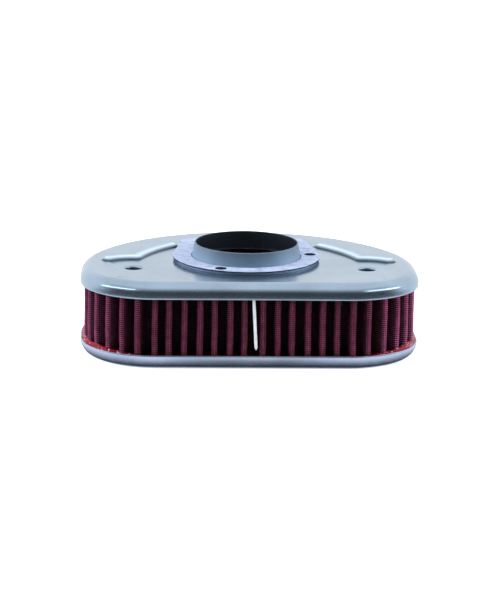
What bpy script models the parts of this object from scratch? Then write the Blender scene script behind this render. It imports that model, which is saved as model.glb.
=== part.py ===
"""Panel air filter for a motorcycle: a D-shaped pleated cotton element between two pressed steel plates.

Metres, +Z up. The straight front side faces -Y, the long axis is X, the intake neck points to +Z.
The origin is under the middle of the outline, on the plane the lower frame stands on.
"""

import math

import bmesh
import bpy
from mathutils import Vector

# Outline of the element, seen from above.
LENGTH = 0.246
DEPTH = 0.180
FRONT_CORNER_RADIUS = 0.0536
REAR_RISE = 0.1114
REAR_CORNER_RATIO = 0.842
CORNER_STEPS = 12
REAR_CORNER_STEPS = 5
REAR_STEPS = 18

# Plates.
HEIGHT = 0.0627
SHEET = 0.0009
SHOULDER_RADIUS = 0.0087
SHOULDER_STEPS = 4
TOP_SKIRT = 0.0114
FRAME_SKIRT = 0.0102
FRAME_ROUND = 0.0088
FRAME_WIDTH = 0.0285
FRAME_LIP = 0.0055
FRAME_LIP_RADIUS = 0.0020
FIT = 0.0003

# Breather holes and the stamped beads that curve round them.
BREATHER_SPACING = 0.1694
BREATHER_Y = 0.0504
BREATHER_RADIUS = 0.0060
BREATHER_COLLAR = 0.0034
BREATHER_MOUTH = 0.0013
BEAD_HEIGHT = 0.0030
BEAD_WIDTH = 0.0120
BEAD_ROUND_HOLE = 0.0300
BEAD_HOLE_START = math.radians(94.0)
BEAD_HOLE_END = math.radians(53.0)
BEAD_START_RADIUS = 0.0700
BEAD_START_ANGLE = math.radians(36.5)
BEAD_BULGE = 0.0025
BEAD_STEPS = 5
BEAD_SIDES = 20

# Intake neck, its flange and the gasket on it.
NECK_X = -0.0018
NECK_Y = 0.0797
NECK_RADIUS = 0.03805
NECK_WALL = 0.0012
NECK_TOP = 0.0131
NECK_FLARE = 0.00215
NECK_LIP_ROUND = 0.0005
PLATE_LEDGE = 0.0010
FLANGE_SHEET = 0.0014
FLANGE_INSET = 0.0018
SEAT_GAP = 0.0002
GASKET_SHEET = 0.00125
GASKET_BORDER = 0.0157
GASKET_TAPER = math.radians(8.5)
GASKET_REAR_BORDER = 0.01935
GASKET_CORNER = 0.0090
GASKET_STEPS = 34
SCREW_BORDER = 0.00925
SCREW_ANGLES = (math.radians(-115.2), math.radians(4.8), math.radians(124.8))
SCREW_HOLE_RADIUS = 0.0035
GASKET_HOLE_RADIUS = 0.00425
HOLE_SIDES = 24
NECK_FOOT_RADIUS = NECK_RADIUS + NECK_FLARE
SCREW_CIRCLE = NECK_RADIUS + SCREW_BORDER

# Pleated pack: cotton between two wire screens.
PLEAT_COUNT = 60
PLEAT_DEPTH = 0.0185
PLEAT_INSET = 0.0024
PITCH_INSET = 0.0060
FOLD_WIDTH = 0.0024
COTTON = 0.0011
SCREEN = 0.0003
LAYER_GAP = 0.0002
SEAM_X = 0.0010
SEAM_GAP = 0.0130

# Potting resin and the clip over the seam of the pack.
RESIN_RING = 0.0268
RESIN_TOP_DEPTH = 0.0100
RESIN_FOOT_LEVEL = 0.0098
CLIP_WIDTH = 0.0022
CLIP_DEPTH = 0.0050
CLIP_HEIGHT = 0.0372
CLIP_LEAN = 0.0022
CLIP_OFFSET = 0.0003

SIDES = (("right", 1.0), ("left", -1.0))
SHARP = math.radians(35.0)
CUT_MARGIN = 0.002

parts = bpy.data.collections.new("air_filter")
helpers = bpy.data.collections.new("helpers")


def clear_scene():
    for item in list(bpy.data.objects):
        bpy.data.objects.remove(item, do_unlink=True)
    for collection in (parts, helpers):
        bpy.context.scene.collection.children.link(collection)


def material(name, colour, roughness, metallic):
    shade = bpy.data.materials.new(name)
    shade.use_nodes = True
    principled = shade.node_tree.nodes["Principled BSDF"]
    principled.inputs["Base Color"].default_value = (*colour, 1.0)
    principled.inputs["Roughness"].default_value = roughness
    principled.inputs["Metallic"].default_value = metallic
    shade.diffuse_color = (*colour, 1.0)
    return shade


def mesh_object(name, vertices, faces, collection=parts, shade=None):
    """A closed mesh from points and faces, with its faces turned outwards."""
    mesh = bpy.data.meshes.new(name)
    mesh.from_pydata([tuple(point) for point in vertices], [], faces)
    body = bmesh.new()
    body.from_mesh(mesh)
    bmesh.ops.recalc_face_normals(body, faces=body.faces)
    body.to_mesh(mesh)
    body.free()
    mesh.shade_smooth()
    mesh.set_sharp_from_angle(angle=SHARP)
    made = bpy.data.objects.new(name, mesh)
    collection.objects.link(made)
    if shade:
        mesh.materials.append(shade)
    return made


def loft(name, rings, closed_section, shade=None, collection=parts):
    """A skin over rings of equally many points, capped at both ends unless the section is closed."""
    count = len(rings[0])
    vertices = [point for ring in rings for point in ring]
    faces = []
    last = len(rings) if closed_section else len(rings) - 1
    for row in range(last):
        upper = row * count
        lower = ((row + 1) % len(rings)) * count
        for column in range(count):
            following = (column + 1) % count
            faces.append((upper + column, upper + following, lower + following, lower + column))
    if not closed_section:
        faces.append(tuple(range(count)))
        faces.append(tuple(range((len(rings) - 1) * count, len(rings) * count)))
    return mesh_object(name, vertices, faces, collection, shade)


def as_cutter(cutter):
    cutter.hide_render = True
    cutter.display_type = "WIRE"
    return cutter


def cut(body, cutter, operation="DIFFERENCE"):
    boolean = body.modifiers.new(cutter.name, "BOOLEAN")
    boolean.object = cutter
    boolean.operation = operation
    boolean.solver = "EXACT"


def cylinder(name, centre, radius, low, high, sides=HOLE_SIDES, top_radius=None):
    """A round helper standing on +Z between two heights."""
    upper_radius = radius if top_radius is None else top_radius
    rings = []
    for height, reach in ((low, radius), (high, upper_radius)):
        ring = []
        for step in range(sides):
            angle = 2.0 * math.pi * step / sides
            across = centre[0] + reach * math.cos(angle)
            ring.append((across, centre[1] + reach * math.sin(angle), height))
        rings.append(ring)
    return as_cutter(loft(name, rings, False, collection=helpers))


def arc(centre, radius, start, end, steps):
    """Points and outward directions along an arc, without its last point."""
    found = []
    for step in range(steps):
        angle = start + (end - start) * step / steps
        outward = Vector((math.cos(angle), math.sin(angle)))
        found.append((Vector(centre) + radius * outward, outward))
    return found


def outline_points():
    """Outline of the plates: points with outward directions, anticlockwise from the front left."""
    half = LENGTH / 2.0
    front = -DEPTH / 2.0
    rise = min(REAR_RISE, REAR_RISE / 0.123 * half, DEPTH - FRONT_CORNER_RADIUS - 0.004)
    side = DEPTH / 2.0 - rise
    corner = REAR_CORNER_RATIO * rise
    shift = half - corner
    rear = (shift**2 + rise**2 - corner**2) / (2.0 * (rise - corner))
    rear_y = DEPTH / 2.0 - rear
    turn = math.atan2(side - rear_y, shift)
    front_x = half - FRONT_CORNER_RADIUS
    front_y = front + FRONT_CORNER_RADIUS
    quarter = math.pi / 2.0
    right = arc((front_x, front_y), FRONT_CORNER_RADIUS, -quarter, 0.0, CORNER_STEPS)
    right += arc((half - FRONT_CORNER_RADIUS, front_y), FRONT_CORNER_RADIUS, 0.0, 1.0, 1)
    right += arc((shift, side), corner, 0.0, turn, REAR_CORNER_STEPS)
    right += arc((0.0, rear_y), rear, turn, quarter, REAR_STEPS // 2)
    top = [(Vector((0.0, DEPTH / 2.0)), Vector((0.0, 1.0)))]
    left = [(mirrored(point), mirrored(way)) for point, way in reversed(right)]
    return right + top + left


def mirrored(vector):
    return Vector((-vector.x, vector.y))


OUTLINE = outline_points()


def outline_ring(inset, height):
    """The outline moved inwards, at one height."""
    ring = []
    for point, outward in OUTLINE:
        moved = point - inset * outward
        ring.append((moved.x, moved.y, height))
    return ring


def shoulder(inset, radius, corner_z, upwards, steps=SHOULDER_STEPS):
    """(inset, height) pairs of a quarter bend from the wall to the flat of a plate."""
    sign = 1.0 if upwards else -1.0
    pairs = []
    for step in range(steps + 1):
        angle = math.pi / 2.0 * step / steps
        across = inset + radius * (1.0 - math.cos(angle))
        height = corner_z - sign * radius * (1.0 - math.sin(angle))
        pairs.append((across, height))
    return pairs


def outline_loft(name, section, closed_section, shade):
    rings = [outline_ring(inset, height) for inset, height in section]
    return loft(name, rings, closed_section, shade)


def neck_point(radius, angle, height=0.0):
    """A point round the neck's axis."""
    across = NECK_X + radius * math.cos(angle)
    return Vector((across, NECK_Y - DEPTH / 2.0 + radius * math.sin(angle), height))


def gasket_points(inset):
    """Gasket outline round the neck's axis: a round front, and tapering sides to a square rear."""
    start = GASKET_TAPER
    centre = neck_point(0.0, 0.0)
    radius = NECK_RADIUS + GASKET_BORDER - inset
    edge = Vector((math.cos(start), math.sin(start)))
    along = Vector((-math.sin(start), math.cos(start)))
    rear = NECK_RADIUS + GASKET_REAR_BORDER - inset
    bend = GASKET_CORNER - inset
    run = (rear - bend - (radius - bend) * edge.y) / along.y
    corner = (radius - bend) * edge + run * along
    right = []
    for step in range(GASKET_STEPS // 2 + 1):
        angle = -math.pi / 2.0 + (start + math.pi / 2.0) * step / (GASKET_STEPS // 2)
        right.append(Vector((radius * math.cos(angle), radius * math.sin(angle))))
    side = radius * edge
    finish = corner + bend * edge
    for step in range(1, 6):
        right.append(side.lerp(finish, step / 6.0))
    for step in range(6):
        angle = start + (math.pi / 2.0 - start) * step / 5.0
        right.append(corner + bend * Vector((math.cos(angle), math.sin(angle))))
    for step in range(1, 5):
        right.append(Vector((corner.x * (1.0 - step / 5.0), rear)))
    left = [mirrored(point) for point in reversed(right[1:])]
    points = right + [Vector((0.0, rear))] + left
    return [Vector((centre.x + point.x, centre.y + point.y)) for point in points]


def gasket_ring(inset, height):
    return [(point.x, point.y, height) for point in gasket_points(inset)]


def neck_ring(radius, height):
    """A circle round the neck with one point in line with each point of the gasket outline."""
    centre = neck_point(0.0, 0.0)
    ring = []
    for point in gasket_points(0.0):
        angle = math.atan2(point.y - centre.y, point.x - centre.x)
        ring.append(tuple(neck_point(radius, angle, height)))
    return ring


def bead_path(side):
    """Crest of the bead on one half of the plate: past the neck, then round the hole."""
    hole = Vector((BREATHER_SPACING / 2.0, BREATHER_Y - DEPTH / 2.0))
    outer = []
    for step in range(BEAD_STEPS + 1):
        angle = BEAD_HOLE_START + (BEAD_HOLE_END - BEAD_HOLE_START) * step / BEAD_STEPS
        outer.append(hole + BEAD_ROUND_HOLE * Vector((math.cos(angle), math.sin(angle))))
    start_x = BEAD_START_RADIUS * math.cos(BEAD_START_ANGLE)
    start_y = NECK_Y - DEPTH / 2.0 + BEAD_START_RADIUS * math.sin(BEAD_START_ANGLE)
    start = Vector((start_x, start_y))
    chord = outer[0] - start
    away = Vector((-chord.y, chord.x)).normalized()
    inner = []
    for step in range(BEAD_STEPS):
        along = step / BEAD_STEPS
        inner.append(start + along * chord + 4.0 * BEAD_BULGE * along * (1.0 - along) * away)
    return [Vector((side * point.x, point.y)) for point in inner + outer]


def bead_bar(name, path, radius, centre_z):
    """A round bar with domed ends along a level path: the part above the sheet makes the bead."""
    begin = (path[0] - path[1]).normalized()
    finish = (path[-1] - path[-2]).normalized()
    dome = [math.radians(angle) for angle in (80.0, 60.0, 35.0)]
    stations = []
    for angle in dome:
        spot = path[0] + radius * math.sin(angle) * begin
        stations.append((spot, radius * math.cos(angle), -begin, 1.0))
    stations.append((path[0], radius, -begin, 1.0))
    for behind, point, ahead in zip(path, path[1:], path[2:]):
        arriving = (point - behind).normalized()
        along = (arriving + (ahead - point).normalized()).normalized()
        stations.append((point, radius, along, 1.0 / along.dot(arriving)))
    stations.append((path[-1], radius, finish, 1.0))
    for angle in reversed(dome):
        spot = path[-1] + radius * math.sin(angle) * finish
        stations.append((spot, radius * math.cos(angle), finish, 1.0))
    rings = []
    for point, reach, along, mitre in stations:
        across = mitre * Vector((along.y, -along.x))
        ring = []
        for step in range(BEAD_SIDES):
            angle = 2.0 * math.pi * step / BEAD_SIDES
            spot = point + reach * math.cos(angle) * across
            ring.append((spot.x, spot.y, centre_z + reach * math.sin(angle)))
        rings.append(ring)
    return as_cutter(loft(name, rings, False, collection=helpers))


def make_top_plate(shade):
    """Upper plate: a solid lid with its beads and collars joined on, then hollowed to sheet."""
    top = HEIGHT
    hem = HEIGHT - TOP_SKIRT
    outside = [(0.0, hem)] + shoulder(0.0, SHOULDER_RADIUS, top, True)
    plate = outline_loft("top_plate", outside, False, shade)
    inner_radius = SHOULDER_RADIUS - SHEET
    inside = [(SHEET, hem - CUT_MARGIN)] + shoulder(SHEET, inner_radius, top - SHEET, True)
    hollow_rings = [outline_ring(inset, height) for inset, height in inside]
    hollow = as_cutter(loft("plate_hollow", hollow_rings, False, collection=helpers))
    bar_radius = ((BEAD_WIDTH / 2.0) ** 2 + BEAD_HEIGHT**2) / (2.0 * BEAD_HEIGHT)
    bar_z = top + BEAD_HEIGHT - bar_radius
    for word, side in SIDES:
        cut(plate, bead_bar(f"bead_{word}", bead_path(side), bar_radius, bar_z), "UNION")
    cut(plate, hollow)
    for word, side in SIDES:
        inner_bar = bead_bar(f"bead_hollow_{word}", bead_path(side), bar_radius - SHEET, bar_z)
        cut(plate, inner_bar)
    for word, side in SIDES:
        centre = (side * BREATHER_SPACING / 2.0, BREATHER_Y - DEPTH / 2.0)
        collar_low = top - BREATHER_COLLAR
        collar_radius = BREATHER_RADIUS + SHEET
        collar_top = top - SHEET / 2.0
        cut(plate, cylinder(f"collar_{word}", centre, collar_radius, collar_low, collar_top), "UNION")
        bore_high = top + CUT_MARGIN
        bore_low = collar_low - CUT_MARGIN
        cut(plate, cylinder(f"bore_{word}", centre, BREATHER_RADIUS, bore_low, bore_high))
        mouth_low = top - BREATHER_MOUTH
        wide = BREATHER_RADIUS + BREATHER_MOUTH + CUT_MARGIN
        mouth = cylinder(
            f"mouth_{word}", centre, BREATHER_RADIUS, mouth_low, bore_high, top_radius=wide
        )
        cut(plate, mouth)
    low = top - SHEET - CUT_MARGIN
    high = top + CUT_MARGIN
    opening = NECK_FOOT_RADIUS - NECK_WALL - PLATE_LEDGE
    centre = neck_point(0.0, 0.0)
    cut(plate, cylinder("neck_opening", centre, opening, low, high, sides=64))
    for place, angle in enumerate(SCREW_ANGLES):
        spot = neck_point(SCREW_CIRCLE, angle)
        cut(plate, cylinder(f"plate_screw_{place}", spot, SCREW_HOLE_RADIUS, low, high))
    return plate


def neck_reach(height):
    """Outside radius of the slightly conical neck at a height."""
    foot = HEIGHT + SEAT_GAP + FLANGE_SHEET
    share = (height - foot) / (HEIGHT + NECK_TOP - foot)
    return NECK_FOOT_RADIUS + share * (NECK_RADIUS - NECK_FOOT_RADIUS)


def make_neck(shade):
    """Slightly conical neck that stands on a flange lying on the plate."""
    low = HEIGHT + SEAT_GAP
    face = low + FLANGE_SHEET
    tip = HEIGHT + NECK_TOP
    edge = tip - NECK_LIP_ROUND
    inner = NECK_RADIUS - NECK_WALL
    rings = [gasket_ring(FLANGE_INSET, face), gasket_ring(FLANGE_INSET, low)]
    rings.append(neck_ring(NECK_FOOT_RADIUS - NECK_WALL, low))
    rings.append(neck_ring(neck_reach(edge) - NECK_WALL, edge))
    rings.append(neck_ring(inner + NECK_LIP_ROUND, tip))
    rings.append(neck_ring(NECK_RADIUS - NECK_LIP_ROUND, tip))
    rings.append(neck_ring(neck_reach(edge), edge))
    rings.append(neck_ring(NECK_FOOT_RADIUS, face))
    neck = loft("intake_neck", rings, True, shade)
    for place, angle in enumerate(SCREW_ANGLES):
        spot = neck_point(SCREW_CIRCLE, angle)
        hole = cylinder(
            f"flange_screw_{place}", spot, SCREW_HOLE_RADIUS, low - CUT_MARGIN, face + CUT_MARGIN
        )
        cut(neck, hole)
    return neck


def make_gasket(shade):
    """Flat gasket on the flange, round the foot of the neck."""
    low = HEIGHT + 2.0 * SEAT_GAP + FLANGE_SHEET
    high = low + GASKET_SHEET
    hole = neck_reach(low) + FIT
    rings = [gasket_ring(0.0, low), gasket_ring(0.0, high), neck_ring(hole, high), neck_ring(hole, low)]
    gasket = loft("neck_gasket", rings, True, shade)
    for place, angle in enumerate(SCREW_ANGLES):
        spot = neck_point(SCREW_CIRCLE, angle)
        hole_cut = cylinder(
            f"gasket_screw_{place}", spot, GASKET_HOLE_RADIUS, low - CUT_MARGIN, high + CUT_MARGIN
        )
        cut(gasket, hole_cut)
    return gasket


def dish(inset, across, rim, floor, steps=SHOULDER_STEPS + 1):
    """(inset, height) pairs of the lower frame's rounded wall, from its rim down to its floor."""
    pairs = []
    for step in range(steps + 1):
        angle = math.pi / 2.0 * step / steps
        height = rim + (floor - rim) * math.sin(angle)
        pairs.append((inset + across * (1.0 - math.cos(angle)), height))
    return pairs


def make_lower_frame(shade):
    """Lower frame: an open channel with a rounded outer wall and a short inner lip."""
    outer = dish(0.0, FRAME_ROUND, FRAME_SKIRT, 0.0)
    lip = list(reversed(shoulder(0.0, FRAME_LIP_RADIUS, 0.0, False, 2)))
    outer += [(FRAME_WIDTH - inset, height) for inset, height in lip]
    outer.append((FRAME_WIDTH, FRAME_LIP))
    inner_lip = FRAME_LIP_RADIUS - SHEET
    inner = [(FRAME_WIDTH - SHEET, FRAME_LIP)]
    bend = shoulder(SHEET, inner_lip, SHEET, False, 2)
    inner += [(FRAME_WIDTH - inset, height) for inset, height in bend]
    inner += list(reversed(dish(SHEET, FRAME_ROUND - SHEET, FRAME_SKIRT, SHEET)))
    return outline_loft("lower_frame", outer + inner, True, shade)


def make_resin(shade_top, shade_foot):
    """Rings of potting resin that hold the ends of the pleated pack."""
    wall = SHEET + FIT
    roof = HEIGHT - SHEET - FIT
    under = roof - RESIN_TOP_DEPTH
    section = [(wall, under)] + shoulder(wall, SHOULDER_RADIUS - wall, roof, True, 3)
    section += [(RESIN_RING, roof), (RESIN_RING, under)]
    outline_loft("resin_top", section, True, shade_top)
    floor = wall
    section = dish(wall, FRAME_ROUND - wall, RESIN_FOOT_LEVEL, floor, 4)
    inner = FRAME_WIDTH - SHEET - FIT
    inner = min(inner, RESIN_RING)
    section += [(inner, floor), (inner, RESIN_FOOT_LEVEL)]
    outline_loft("resin_bottom", section, True, shade_foot)


def walk_outline(inset):
    """Points, outward directions and running lengths round the outline at one inset."""
    points = [point - inset * outward for point, outward in OUTLINE]
    points.append(points[0])
    ways = [outward for _, outward in OUTLINE]
    ways.append(ways[0])
    lengths = [0.0]
    for behind, ahead in zip(points, points[1:]):
        lengths.append(lengths[-1] + (ahead - behind).length)
    return points, ways, lengths


def place_on(walk, distance):
    points, ways, lengths = walk
    distance %= lengths[-1]
    for place in range(len(points) - 1):
        if lengths[place + 1] >= distance and lengths[place + 1] > lengths[place]:
            share = (distance - lengths[place]) / (lengths[place + 1] - lengths[place])
            way = ways[place].lerp(ways[place + 1], share).normalized()
            return points[place].lerp(points[place + 1], share), way
    return points[0], ways[0]


def pleat_path():
    """Middle line of the pack: five points a fold, even along a line inside the outer tips."""
    tip_inset = PLEAT_INSET + (COTTON / 2.0 + LAYER_GAP + SCREEN) / math.cos(math.radians(30.0))
    walk = walk_outline(tip_inset + PITCH_INSET)
    perimeter = walk[2][-1]
    front_start = LENGTH / 2.0 - FRONT_CORNER_RADIUS
    seam = perimeter - (front_start - SEAM_X)
    spacing = (perimeter - SEAM_GAP) / (PLEAT_COUNT - 1)
    half = FOLD_WIDTH / 2.0
    drop = half * math.tan(math.radians(30.0))
    fold = ((-half, PLEAT_DEPTH), (-half, drop), (0.0, 0.0), (half, drop), (half, PLEAT_DEPTH))
    path = []
    for place in range(PLEAT_COUNT):
        point, outward = place_on(walk, seam + SEAM_GAP / 2.0 + spacing * place)
        along = Vector((-outward.y, outward.x))
        tip = point + PITCH_INSET * outward
        for across, inward in fold:
            path.append(tip + across * along - inward * outward)
    return path


def offset_path(path, distance):
    """A closed path moved to its right-hand side, with mitred corners."""
    count = len(path)
    moved = []
    for place, point in enumerate(path):
        arriving = (point - path[place - 1]).normalized()
        leaving = (path[(place + 1) % count] - point).normalized()
        first = Vector((arriving.y, -arriving.x))
        second = Vector((leaving.y, -leaving.x))
        mitre = (first + second).normalized()
        moved.append(point + distance / mitre.dot(first) * mitre)
    return moved


def pleated_shell(name, path, outer, inner, low, high, shade):
    rings = []
    for distance, height in ((outer, low), (outer, high), (inner, high), (inner, low)):
        ring = [(point.x, point.y, height) for point in offset_path(path, distance)]
        rings.append(ring)
    return loft(name, rings, True, shade)


def make_pack(cotton_shade, screen_shade):
    """Cotton and its two wire screens, folded together."""
    path = pleat_path()
    low = RESIN_FOOT_LEVEL + FIT
    high = HEIGHT - SHEET - 2.0 * FIT - RESIN_TOP_DEPTH
    half = COTTON / 2.0
    near = half + LAYER_GAP
    far = near + SCREEN
    pleated_shell("outer_screen", path, far, near, low, high, screen_shade)
    pleated_shell("cotton_media", path, half, -half, low, high, cotton_shade)
    pleated_shell("inner_screen", path, -near, -far, low, high, screen_shade)


def make_clip(shade):
    """Narrow upright clip over the seam of the pack, in the wider valley at the front."""
    high = HEIGHT - SHEET - 2.0 * FIT - RESIN_TOP_DEPTH
    front = -DEPTH / 2.0 + PLEAT_INSET
    half = CLIP_WIDTH / 2.0
    rings = []
    for drop, shift in ((CLIP_HEIGHT, CLIP_LEAN), (0.0, 0.0)):
        left = SEAM_X - CLIP_OFFSET + shift - half
        right = left + CLIP_WIDTH
        back = front + CLIP_DEPTH
        height = high - drop
        corners = ((left, front), (right, front), (right, back), (left, back))
        rings.append([(across, along, height) for across, along in corners])
    clip = loft("seam_clip", rings, False, shade)
    bevel = clip.modifiers.new("rounded", "BEVEL")
    bevel.width = CLIP_WIDTH / 4.0
    bevel.segments = 2
    bevel.limit_method = "ANGLE"


clear_scene()
zinc = material("zinc_plated_steel", (0.48, 0.55, 0.63), 0.38, 0.75)
neck_zinc = material("neck_steel", (0.42, 0.48, 0.56), 0.40, 0.75)
frame_zinc = material("frame_steel", (0.55, 0.60, 0.68), 0.40, 0.70)
paper = material("gasket_sheet", (0.72, 0.74, 0.84), 0.85, 0.0)
cotton = material("oiled_cotton", (0.20, 0.018, 0.050), 0.85, 0.0)
wire = material("screen_wire", (0.16, 0.035, 0.065), 0.55, 0.3)
resin = material("red_resin", (0.50, 0.008, 0.025), 0.30, 0.0)
clip_white = material("clip_white", (0.80, 0.80, 0.84), 0.45, 0.0)

make_top_plate(zinc)
make_neck(neck_zinc)
make_gasket(paper)
make_pack(cotton, wire)
make_resin(resin, resin)
make_lower_frame(frame_zinc)
make_clip(clip_white)
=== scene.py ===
"""Looks of the panel air filter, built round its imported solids. Metres, +Z up, straight front to -Y."""

import math

import bmesh
import bpy
import numpy as np
from mathutils import Matrix, Vector


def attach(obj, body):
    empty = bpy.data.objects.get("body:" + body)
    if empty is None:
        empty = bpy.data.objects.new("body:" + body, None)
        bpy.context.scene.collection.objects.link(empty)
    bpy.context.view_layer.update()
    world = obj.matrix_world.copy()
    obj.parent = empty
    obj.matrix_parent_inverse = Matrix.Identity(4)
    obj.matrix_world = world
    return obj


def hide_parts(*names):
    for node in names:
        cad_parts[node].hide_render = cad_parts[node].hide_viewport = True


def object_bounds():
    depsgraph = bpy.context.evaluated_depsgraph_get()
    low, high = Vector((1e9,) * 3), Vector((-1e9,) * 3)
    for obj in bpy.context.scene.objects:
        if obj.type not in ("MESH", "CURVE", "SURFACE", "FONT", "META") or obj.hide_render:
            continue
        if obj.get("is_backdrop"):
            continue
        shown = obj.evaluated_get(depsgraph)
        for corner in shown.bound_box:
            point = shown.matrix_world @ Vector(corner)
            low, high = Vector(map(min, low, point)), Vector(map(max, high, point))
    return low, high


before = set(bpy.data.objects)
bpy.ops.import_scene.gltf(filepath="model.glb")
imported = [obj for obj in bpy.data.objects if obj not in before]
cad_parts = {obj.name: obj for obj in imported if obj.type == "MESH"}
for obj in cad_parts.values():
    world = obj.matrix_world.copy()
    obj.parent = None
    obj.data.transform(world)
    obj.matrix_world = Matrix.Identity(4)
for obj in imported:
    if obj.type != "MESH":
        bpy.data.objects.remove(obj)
cad_box = [list(corner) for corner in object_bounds()]

# Sizes shared with the solids.
LENGTH = 0.246
DEPTH = 0.180
FRONT_CORNER = 0.0536
REAR_RISE = 0.1114
REAR_CORNER = 0.0938
HEIGHT = 0.0627
SHEET = 0.0009
SHOULDER = 0.0087
TOP_SKIRT = 0.0114
FRAME_SKIRT = 0.0102
FRAME_ROUND = 0.0088
FRAME_WIDTH = 0.0285
FRAME_LIP = 0.0055
BREATHER = (0.0847, -0.0396)
BREATHER_RADIUS = 0.0060
COLLAR = 0.0034
BEAD_HEIGHT = 0.0030
NECK = Vector((-0.0018, -0.0103))
NECK_RADIUS = 0.03805
NECK_WALL = 0.0012
NECK_TOP = 0.0758
NECK_FOOT = 0.0402
FLANGE_LOW = 0.0629
FLANGE_HIGH = 0.0643
FLANGE_INSET = 0.0018
GASKET_LOW = 0.0645
GASKET_HIGH = 0.06575
GASKET_RADIUS = 0.05375
GASKET_TAPER = math.radians(8.5)
GASKET_REAR = 0.0574
GASKET_CORNER = 0.0090
SCREW_CIRCLE = 0.0473
SCREW_ANGLES = [math.radians(turn) for turn in (-115.2, 4.8, 124.8)]
SCREW_HOLE = 0.0035
GASKET_HOLE = 0.00425
PLEATS = 60
PLEAT_DEPTH = 0.0185
PLEAT_INSET = 0.0024
PITCH_INSET = 0.0060
FOLD_WIDTH = 0.0024
COTTON = 0.0011
SCREEN = 0.0003
LAYER_GAP = 0.0002
SEAM_X = 0.0010
SEAM_GAP = 0.0130
PACK_LOW = 0.0098
PACK_HIGH = 0.0515
RESIN_RING = 0.0268
RESIN_GAP = 0.0003

# Sizes of the forms that only the looks have.
BEAD_HALF_WIDTH = 0.0047
BEAD_ROUND_HOLE = 0.030
BEAD_START_RADIUS = 0.0700
BEAD_START_ANGLE = math.radians(36.5)
BEAD_BOW = 0.010
CREASE_LINE = ((0.1030, -0.0220), (0.0990, -0.0350), (0.0955, -0.0480), (0.0945, -0.0680))
CREASE_HEIGHT = 0.00035
CREASE_REACH = 0.0022
MOUTH_BEND = 0.0016
PUNCH_LENGTH = 0.012
SWELL = 0.0030
ROW_PITCH = 0.00145
ROW_RADIUS = 0.00022
COLUMN_PITCH = 0.0017
COLUMN_RADIUS = 0.00013
CLIP_TOP = 0.0512
CLIP_LENGTH = 0.0372
CLIP_LEAN = 0.0022
CLIP_HALF_WIDTH = 0.00115
CLIP_HALF_DEPTH = 0.0022

# Floor glow by distance from the object's outline; where it fades under the object it is a painted shadow.
FLOOR_GLOW = (
    (-0.020, 0.0),
    (-0.008, 0.05),
    (-0.005, 0.60),
    (-0.001, 0.95),
    (0.02, 0.92),
    (0.4, 0.88),
    (2.0, 1.0),
    (8.0, 1.0),
)

# Tone of the reflection card in front and at the sides, by distance from the object's outline; the dark rows
# nearest the object are a painted contact shadow.
CARD_NEAR = (
    (-0.012, 0.02, 0.02),
    (-0.003, 0.03, 0.05),
    (0.004, 0.30, 0.60),
    (0.012, 0.72, 1.0),
    (0.10, 0.72, 1.0),
)
CARD_FAR = ((0.16, 0.12), (0.21, 0.03), (0.8, 0.03), (2.5, 0.03))

# Tone of the card's upright part, by elevation in degrees.
CARD_DOME = ((10, 0.02), (20, 0.03), (30, 0.12), (40, 0.36), (50, 0.68), (60, 1.0))
CARD_DOME_RADIUS = 2.6

# Painted shade down into the folds, and a painted sheen that lightens the folds at both ends.
PAINTED_FOLD_SHADE = ((0.0, 1.0), (0.06, 0.72), (0.16, 0.38), (0.38, 0.26), (0.65, 0.22))
PAINTED_END_SHEEN = ((0.0, 1.0), (1.0, (1.6, 2.2, 2.1)))


# ---------------------------------------------------------------- materials


def new_material(name, colour, roughness, metallic=0.0):
    shade = bpy.data.materials.new(name)
    shade.use_nodes = True
    principled = shade.node_tree.nodes["Principled BSDF"]
    principled.inputs["Base Color"].default_value = (*colour, 1.0)
    principled.inputs["Roughness"].default_value = roughness
    principled.inputs["Metallic"].default_value = metallic
    return shade, shade.node_tree, principled


def node(tree, kind, settings=None, **inputs):
    made = tree.nodes.new(kind)
    for key, value in (settings or {}).items():
        setattr(made, key, value)
    for key, value in inputs.items():
        made.inputs[key.replace("_", " ")].default_value = value
    return made


def object_place(tree):
    return node(tree, "ShaderNodeTexCoord").outputs["Object"]


def noise(tree, scale, detail, rough=0.5):
    made = node(tree, "ShaderNodeTexNoise", Scale=scale, Detail=detail, Roughness=rough)
    tree.links.new(object_place(tree), made.inputs["Vector"])
    return made.outputs["Fac"]


def ramp(tree, factor, stops):
    """A colour band over a factor. A stop's colour may be one number, for a grey."""
    made = node(tree, "ShaderNodeValToRGB")
    band = made.color_ramp
    while len(band.elements) < len(stops):
        band.elements.new(0.5)
    for element, (place, colour) in zip(band.elements, stops):
        element.position = place
        element.color = (*(colour if isinstance(colour, tuple) else (colour,) * 3), 1.0)
    tree.links.new(factor, made.inputs["Fac"])
    return made.outputs["Color"]


def bump(tree, principled, height, distance, strength=1.0):
    made = node(tree, "ShaderNodeBump", Strength=strength, Distance=distance)
    tree.links.new(height, made.inputs["Height"])
    before = principled.inputs["Normal"]
    if before.is_linked:
        tree.links.new(before.links[0].from_socket, made.inputs["Normal"])
    tree.links.new(made.outputs["Normal"], principled.inputs["Normal"])


def plated_steel(name, dark, light, roughness, metallic):
    """Plated sheet: soft cloudy tone, a mottle from rough to smooth and a fine grain."""
    middle = tuple((a + b) / 2.0 for a, b in zip(dark, light))
    shade, tree, principled = new_material(name, middle, roughness, metallic)
    cloud = noise(tree, 38.0, 4.0)
    tree.links.new(ramp(tree, cloud, ((0.30, dark), (0.70, light))), principled.inputs["Base Color"])
    grain = noise(tree, 900.0, 3.0)
    spread = ((0.25, roughness - 0.03), (0.75, roughness + 0.04))
    tree.links.new(ramp(tree, grain, spread), principled.inputs["Roughness"])
    bump(tree, principled, noise(tree, 2600.0, 2.0), 0.00001, 0.12)
    return shade


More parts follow.
